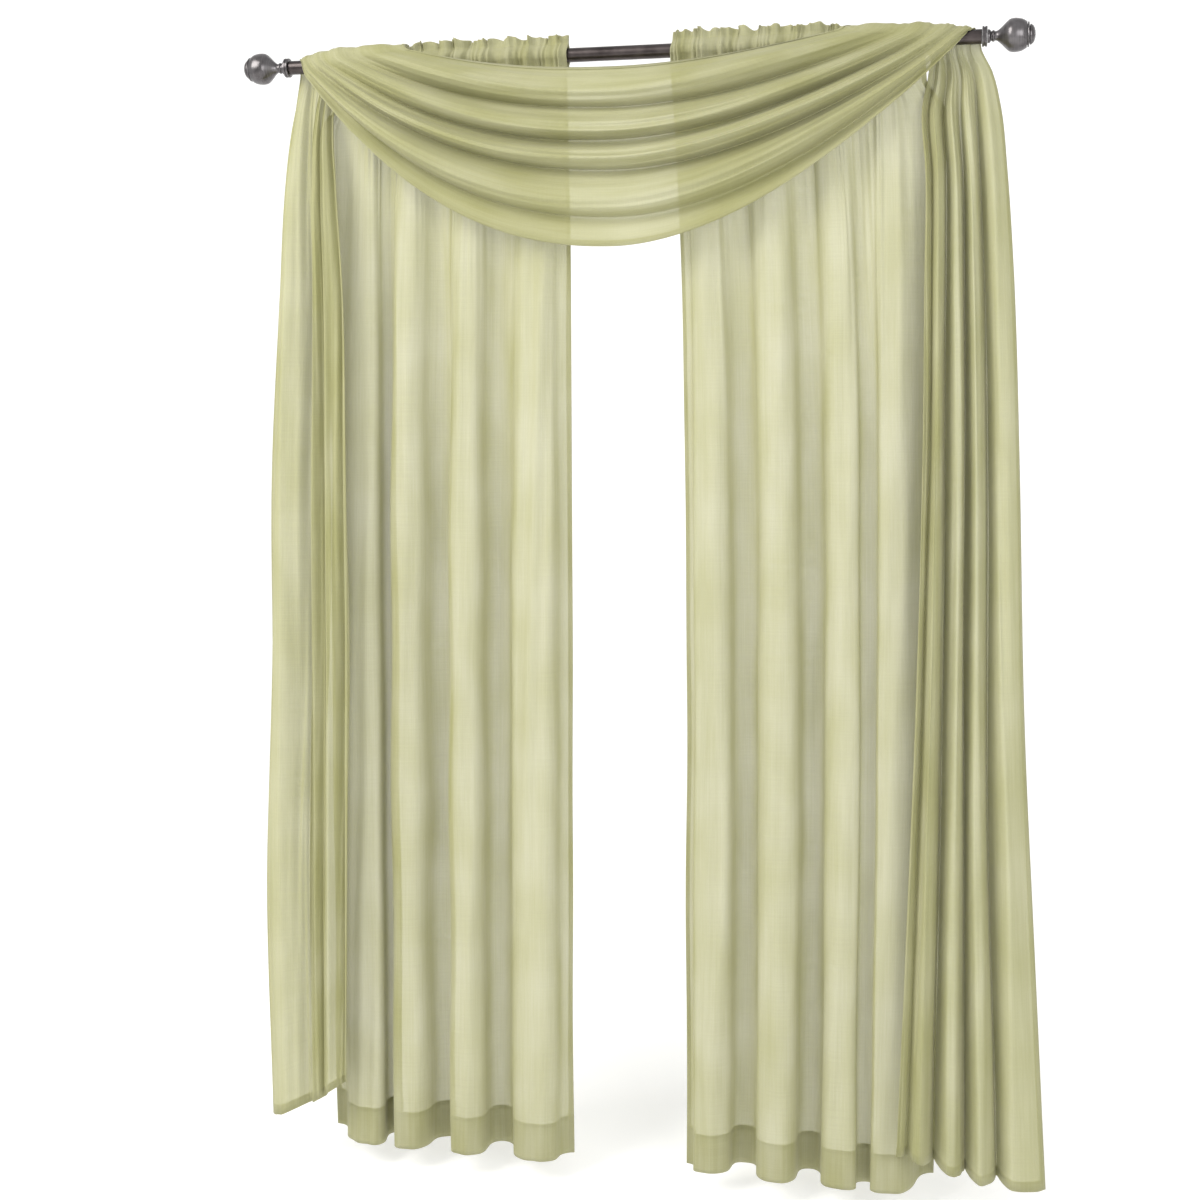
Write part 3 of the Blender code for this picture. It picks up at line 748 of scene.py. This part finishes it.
panel_left = build_panel("panel_left_sheet", LEFT_TURNS, PANEL_LEFT_SEED)
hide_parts("panel_left")
panel_right = build_panel("panel_right_sheet", RIGHT_TURNS, PANEL_RIGHT_SEED)
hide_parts("panel_right")
scarf = build_scarf()
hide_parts("scarf")


# ---------------------------------------------------------------- rod, collars and finials
def turned(name, profile, side, foot):
    """A piece turned from a profile of radius and distance from its foot, along the rod."""
    angles = np.linspace(0.0, TAU, METAL_SIDES, endpoint=False)
    ring = np.stack((np.cos(angles), np.sin(angles)), axis=1)
    points = [(foot + side * profile[0][1], 0.0, 0.0)]
    for radius, distance in profile[1:-1]:
        points += [(foot + side * distance, radius * c, radius * s) for c, s in ring]
    points.append((foot + side * profile[-1][1], 0.0, 0.0))
    rings = len(profile) - 2
    faces = []
    for k in range(METAL_SIDES):
        n = (k + 1) % METAL_SIDES
        faces.append((0, 1 + k, 1 + n))
        for r in range(rings - 1):
            a = 1 + r * METAL_SIDES
            b = a + METAL_SIDES
            faces.append((a + k, b + k, b + n, a + n))
        a = 1 + (rings - 1) * METAL_SIDES
        faces.append((a + k, len(points) - 1, a + n))
    mesh = bpy.data.meshes.new(name)
    mesh.from_pydata(points, [], faces)
    mesh.shade_smooth()
    mesh.set_sharp_from_angle(angle=SHARP_ANGLE)
    return add_object(name, mesh)


def finial_profile():
    """Radius and distance from the collar, from the tip back to the neck's foot, with its grooves."""
    cap = [(0.0, 0.0820), (0.0060, 0.0814), (0.0106, 0.0801), (0.0140, 0.0783), (0.0162, 0.0762)]
    cap += [(0.0174, 0.0740), (0.0176, 0.0728), (0.0168, 0.0722), (0.0152, 0.0720), (0.0152, 0.0712)]
    ring = [(0.0200, 0.0710), (0.0216, 0.0704), (0.0219, 0.0694), (0.0214, 0.0684), (0.0196, 0.0681)]
    ring += [(0.0180, 0.0680), (0.0180, 0.0671), (0.0208, 0.0671)]
    marks = np.array([0.0670, 0.0600, 0.0523, 0.0448, 0.0372, 0.0296, 0.0220, 0.0160])
    radii = [0.0222, 0.0264, 0.0283, 0.0287, 0.0269, 0.0205, 0.0129, 0.0084]
    places = np.linspace(0.0, marks[0] - marks[-1], BALL_RINGS)
    ball_radii = curve_through(radii, marks[0] - marks, places)
    ball = [(float(radius), float(marks[0] - place)) for radius, place in zip(ball_radii, places)]
    neck = [(0.0080, 0.0140), (0.0081, 0.0124), (0.0092, 0.0118), (0.0099, 0.0106), (0.0099, 0.0090)]
    neck += [(0.0092, 0.0078), (0.0081, 0.0072), (0.0082, 0.0060), (0.0098, 0.0050), (0.0112, 0.0042)]
    foot = [(0.0116, 0.0032), (0.0116, 0.0004), (0.0112, 0.0), (0.0, 0.0)]
    return cap + ring + ball + neck + foot


def collar_profile(radius, width):
    """Radius and distance from the rod's end, with rounded rims and one groove."""
    rim = [(0.0, 0.0), (radius - 0.0010, 0.0), (radius - 0.0002, 0.0004), (radius, 0.0012)]
    groove = [(radius, 0.0030), (radius - 0.0012, 0.0036), (radius - 0.0012, 0.0050), (radius, 0.0056)]
    end = [(radius, width - 0.0012), (radius - 0.0002, width - 0.0004)]
    end += [(radius - 0.0010, width), (0.0, width)]
    return rim + groove + end


def rod_profile(radius, length):
    """Radius and distance along the rod, with small chamfers."""
    start = [(0.0, 0.0), (radius - ROD_CHAMFER, 0.0), (radius, ROD_CHAMFER)]
    middle = [(radius, length * k / ROD_RINGS) for k in range(1, ROD_RINGS)]
    end = [(radius, length - ROD_CHAMFER), (radius - ROD_CHAMFER, length), (0.0, length)]
    return start + middle + end


def add_turned(node, profile, side, foot):
    """Turns the piece that stands for a node of the part."""
    made = turned(f"{node}_turned", profile, side, foot)
    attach(made, "root")
    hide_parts(node)


for name, side in (("left", -1.0), ("right", 1.0)):
    low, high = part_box(f"finial_{name}")
    foot = high.x if side < 0.0 else low.x
    add_turned(f"finial_{name}", finial_profile(), side, foot)
    low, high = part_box(f"collar_{name}")
    foot = high.x if side < 0.0 else low.x
    profile = collar_profile((high.z - low.z) / 2.0, high.x - low.x)
    add_turned(f"collar_{name}", profile, side, foot)

low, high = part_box("rod")
add_turned("rod", rod_profile((high.z - low.z) / 2.0, high.x - low.x), 1.0, low.x)


# ---------------------------------------------------------------- materials
class Nodes:
    """A new material's node tree, with short calls to add nodes to it."""

    def __init__(self, name):
        self.material = bpy.data.materials.new(name)
        self.material.use_nodes = True
        self.tree = self.material.node_tree
        self.tree.nodes.clear()

    def add(self, kind, inputs=(), **settings):
        """Adds a node and gives each named input a value or another node's output."""
        made = self.tree.nodes.new("ShaderNode" + kind)
        for key, value in settings.items():
            setattr(made, key, value)
        for key, value in dict(inputs).items():
            if isinstance(value, bpy.types.NodeSocket):
                self.tree.links.new(value, made.inputs[key])
            else:
                made.inputs[key].default_value = value
        return made

    def math(self, operation, *values):
        """The result of a Math node."""
        return self.add("Math", enumerate(values), operation=operation).outputs[0]

    def total(self, *terms):
        """The sum of values, each times its share."""
        result = None
        for value, share in terms:
            term = self.math("MULTIPLY", value, share)
            result = term if result is None else self.math("ADD", result, term)
        return result

    def range(self, value, low, high, to_low, to_high):
        """Maps a value from one range to another, kept between the ends."""
        inputs = {"Value": value, "From Min": low, "From Max": high, "To Min": to_low, "To Max": to_high}
        return self.add("MapRange", inputs).outputs["Result"]

    def stretched_noise(self, vector, scale, detail, dimensions="2D"):
        """Noise on coordinates stretched by scale, from about 0.2 to 0.8."""
        moved = self.add("VectorMath", {0: vector, 1: scale}, operation="MULTIPLY").outputs[0]
        inputs = {"Vector": moved, "Scale": 1.0, "Detail": detail}
        return self.add("TexNoise", inputs, noise_dimensions=dimensions).outputs["Fac"]

    def mix_color(self, share, first, second):
        """Mixes two colours."""
        made = self.add("Mix", {"Factor": share}, data_type="RGBA")
        for key, value in ((6, first), (7, second)):
            if isinstance(value, bpy.types.NodeSocket):
                self.tree.links.new(value, made.inputs[key])
            else:
                made.inputs[key].default_value = (*value, 1.0)
        return made.outputs[2]

    def finish(self, shader):
        """Makes the shader the material's surface."""
        self.add("OutputMaterial", {"Surface": shader.outputs[0]})
        return self.material


def plain_weave(n, u, v):
    """Height of a plain weave from 0 to 1, the threads one above the other in turn, and how full it is."""
    warp, weft = (n.math("SINE", n.math("MULTIPLY", coordinate, math.pi / THREAD)) for coordinate in (u, v))
    over = n.math("MULTIPLY_ADD", n.math("MULTIPLY", warp, weft), 0.5, 0.5)
    warp = n.math("ABSOLUTE", warp)
    weft = n.math("ABSOLUTE", weft)
    raised_warp = n.math("MULTIPLY", warp, over)
    raised_weft = n.math("MULTIPLY", weft, n.math("SUBTRACT", 1.0, over))
    return n.math("MAXIMUM", raised_warp, raised_weft), n.math("MAXIMUM", warp, weft)


def voile(name, light, deep, opacity):
    """Sheer voile: a plain weave of fine uneven threads, see-through between them, with stitched seams."""
    n = Nodes(name)
    cloth = n.add("Attribute", attribute_name="cloth").outputs["Vector"]
    u, v, to_stitch = n.add("SeparateXYZ", {0: cloth}).outputs
    weave, filled = plain_weave(n, u, v)

    # uneven yarn: long streaks down the cloth, shorter ones across, and soft clouds
    down = n.stretched_noise(cloth, (420.0, 9.0, 0.0), 2.0)
    down_wide = n.stretched_noise(cloth, (95.0, 3.0, 0.0), 1.0)
    weft_streak = n.stretched_noise(cloth, (9.0, 520.0, 0.0), 1.0)
    cloud = n.stretched_noise(cloth, (14.0, 6.0, 0.0), 1.0)
    crinkle = n.stretched_noise(cloth, (110.0, 26.0, 0.0), 2.0)
    streak = n.total((down, 0.5), (down_wide, 0.5))

    # stitches: short dashes along the seams, and the cloth drawn in beside them
    dash = n.math("SINE", n.math("MULTIPLY", n.math("ADD", u, v), TAU / STITCH))
    line = n.range(to_stitch, *STITCH_REACH, 1.0, 0.0)
    stitched = n.math("MULTIPLY", line, n.range(dash, -0.45, -0.1, 0.25, 1.0))
    pucker = n.range(to_stitch, 0.0, PUCKER_REACH, 0.0, 1.0)

    # colour: deeper in thick streaks and clouds and on the stitches, and painted shade between the threads
    # where one dips under the next
    tone = n.range(n.total((streak, 0.6), (cloud, 0.8)), 0.45, 0.95, 0.0, 1.0)
    color = n.mix_color(tone, deep, light)
    # painted shade: the deep colour where a thread dips under its neighbour
    color = n.mix_color(n.math("MULTIPLY", n.range(weave, 0.2, 0.9, 1.0, 0.0), 0.22), color, deep)
    color = n.mix_color(n.math("MULTIPLY", stitched, 0.6), color, deep)
    height = n.total((weave, 0.10), (crinkle, 0.8), (down, 0.16), (weft_streak, 0.10), (pucker, 0.5))
    bump = n.add("Bump", {"Height": height, "Strength": 0.55, "Distance": 0.0011}).outputs[0]

    # the share left open: less on threads, thick yarn and stitches, and less the more slanting the look
    facing = n.add("LayerWeight", {"Blend": 0.5}).outputs["Facing"]
    path = n.math("DIVIDE", 1.0, n.math("MULTIPLY_ADD", facing, -0.72, 1.0))
    thread_share, mean_filled = 0.22, 0.81
    open_share = n.math("MULTIPLY_ADD", filled, -thread_share, 1.0 - opacity + thread_share * mean_filled)
    for source, share in ((streak, -0.11), (weft_streak, -0.10)):
        open_share = n.math("ADD", open_share, n.math("MULTIPLY", n.math("SUBTRACT", source, 0.5), share))
    open_share = n.math("MULTIPLY", open_share, n.math("SUBTRACT", 1.0, stitched))
    open_share = n.math("MINIMUM", n.math("MAXIMUM", open_share, 0.01), 0.9)
    open_share = n.math("POWER", open_share, path)

    surface = n.add(
        "BsdfPrincipled",
        {
            "Base Color": color,
            "Roughness": n.range(crinkle, 0.2, 0.8, 0.62, 0.82),
            "Normal": bump,
            "Specular IOR Level": 0.25,
            "Sheen Weight": 0.20,
            "Sheen Roughness": 0.45,
            "Sheen Tint": (1.0, 0.98, 0.86, 1.0),
        },
    )
    glow = n.add("BsdfTranslucent", {"Color": color, "Normal": bump})
    thread = n.add("MixShader", {0: 0.22, 1: surface.outputs[0], 2: glow.outputs[0]})
    hole = n.add("BsdfTransparent", {"Color": (0.985, 0.98, 0.95, 1.0)})
    return n.finish(n.add("MixShader", {0: open_share, 1: thread.outputs[0], 2: hole.outputs[0]}))


def metal(name, dark, worn, roughness, lines):
    """Dark turned metal with fine lathe lines, cloudy patina and paler worn spots."""
    n = Nodes(name)
    place = n.add("TexCoord").outputs["Object"]
    fine = n.stretched_noise(place, lines, 2.0, "3D")
    cloud = n.stretched_noise(place, (38.0, 38.0, 38.0), 3.0, "3D")
    speck = n.stretched_noise(place, (520.0, 520.0, 520.0), 1.0, "3D")
    wear = n.range(n.total((cloud, 0.7), (fine, 0.4)), 0.42, 0.72, 0.0, 1.0)
    patina = n.range(cloud, 0.3, 0.7, roughness - 0.05, roughness + 0.09)
    height = n.total((fine, 0.5), (speck, 0.5))
    surface = n.add(
        "BsdfPrincipled",
        {
            "Base Color": n.mix_color(wear, dark, worn),
            "Metallic": 0.92,
            "Roughness": n.math("ADD", patina, n.math("MULTIPLY", fine, 0.08)),
            "Normal": n.add("Bump", {"Height": height, "Strength": 0.25, "Distance": 0.0004}).outputs[0],
            "Coat Weight": 0.25,
            "Coat Roughness": 0.22,
        },
    )
    return n.finish(surface)


def dress(names, material):
    """Gives each named piece one material."""
    for name in names:
        bpy.data.objects[name].data.materials.append(material)


dress(["panel_left_sheet", "panel_right_sheet"], voile("panel_sheer", *PANEL_VOILE))
dress(["scarf_sheet"], voile("scarf_sheer", *SCARF_VOILE))
dress(["rod_turned"], metal("rod_bronze", *ROD_METAL))
finial_pewter = metal("finial_pewter", *PEWTER, FINIAL_ROUGHNESS, PEWTER_LINES)
dress(["finial_left_turned", "finial_right_turned"], finial_pewter)
collar_pewter = metal("collar_pewter", *PEWTER, COLLAR_ROUGHNESS, PEWTER_LINES)
dress(["collar_left_turned", "collar_right_turned"], collar_pewter)


# ---------------------------------------------------------------- floor, light and camera
def add_stage():
    """A softly lit pale floor that curves up into a plain wall, far enough back to look from there too."""
    floor_z = HEM_Z - FLOOR_GAP
    bend_y = WALL_Y - WALL_BEND
    line = [(FLOOR_FRONT, floor_z), (bend_y, floor_z)]
    for k in range(1, WALL_BEND_STEPS + 1):
        angle = math.radians(90.0 * k / WALL_BEND_STEPS)
        line.append((bend_y + WALL_BEND * math.sin(angle), floor_z + WALL_BEND * (1.0 - math.cos(angle))))
    line.append((WALL_Y, WALL_TOP))
    points = [(x, y, z) for x in (-STAGE_HALF_WIDTH, STAGE_HALF_WIDTH) for y, z in line]
    count = len(line)
    faces = [(k, k + 1, count + k + 1, count + k) for k in range(count - 1)]
    mesh = bpy.data.meshes.new("studio_floor")
    mesh.from_pydata(points, [], faces)
    mesh.shade_smooth()
    made = add_object("studio_floor", mesh)
    n = Nodes("studio_pale")
    surface = n.add(
        "BsdfPrincipled",
        {
            "Base Color": STAGE_COLOR,
            "Roughness": 0.9,
            "Emission Color": (1.0, 1.0, 1.0, 1.0),
            "Emission Strength": STAGE_GLOW,
        },
    )
    mesh.materials.append(n.finish(surface))
    made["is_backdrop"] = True


def add_light(name, location, aim, size, power, color):
    """A soft square light aimed at a point."""
    data = bpy.data.lights.new(name, "AREA")
    data.energy = power
    data.size = size
    data.color = color
    lamp = add_object(name, data)
    lamp.location = location
    lamp.rotation_euler = (Vector(aim) - Vector(location)).to_track_quat("-Z", "Y").to_euler()


def add_world():
    """A plain white surrounding light."""
    world = bpy.data.worlds.new("studio_world")
    bpy.context.scene.world = world
    world.use_nodes = True
    background = world.node_tree.nodes["Background"]
    background.inputs["Color"].default_value = (1.0, 1.0, 1.0, 1.0)
    background.inputs["Strength"].default_value = WORLD_STRENGTH


def add_camera():
    """The camera, at the photo's angle and distance."""
    data = bpy.data.cameras.new("camera")
    data.lens = CAMERA_LENS
    data.sensor_width = CAMERA_SENSOR
    camera = add_object("camera", data)
    forward = Vector(
        (
            -math.sin(CAMERA_YAW) * math.cos(CAMERA_PITCH),
            math.cos(CAMERA_YAW) * math.cos(CAMERA_PITCH),
            -math.sin(CAMERA_PITCH),
        )
    )
    camera.location = CAMERA_AIM - forward * CAMERA_DISTANCE
    camera.rotation_euler = forward.to_track_quat("-Z", "Y").to_euler()
    bpy.context.scene.camera = camera


add_stage()
add_light("key", *KEY_LIGHT)
add_light("fill", *FILL_LIGHT)
add_world()
add_camera()

bpy.context.scene.view_settings.view_transform = "Standard"
bpy.context.scene.cycles.transparent_max_bounces = TRANSPARENT_BOUNCES

low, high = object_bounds()
